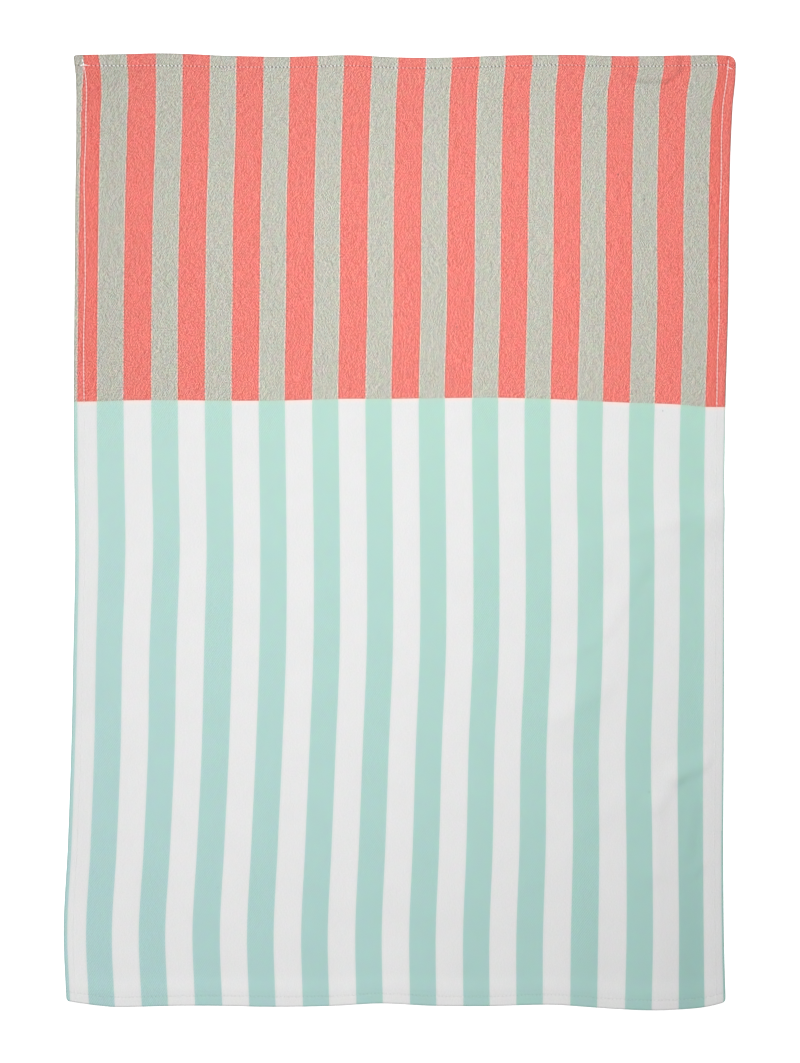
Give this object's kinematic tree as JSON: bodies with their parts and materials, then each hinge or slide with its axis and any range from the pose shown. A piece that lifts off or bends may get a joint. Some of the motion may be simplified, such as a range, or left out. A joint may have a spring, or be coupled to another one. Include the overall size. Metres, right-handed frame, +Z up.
{
  "type": "tea towel",
  "caption": "Striped cotton tea towel, hemmed on all sides, lying flat and face up with soft low folds.",
  "frame": {"origin": "on the table under the middle of the towel, as it lies face up", "axes": "+X across the towel from its left side hem to its right, +Y along the stripes towards the coloured end, +Z up from the table through the cloth's face"},
  "size_m": [0.4946, 0.7052, 0.0067],
  "materials": {
    "cotton_twill": "matt woven cotton",
    "sewing_thread": "soft white thread"
  },
  "bodies": {
    "root": {"tea_towel": "cotton_twill"}
  },
  "joints": []
}
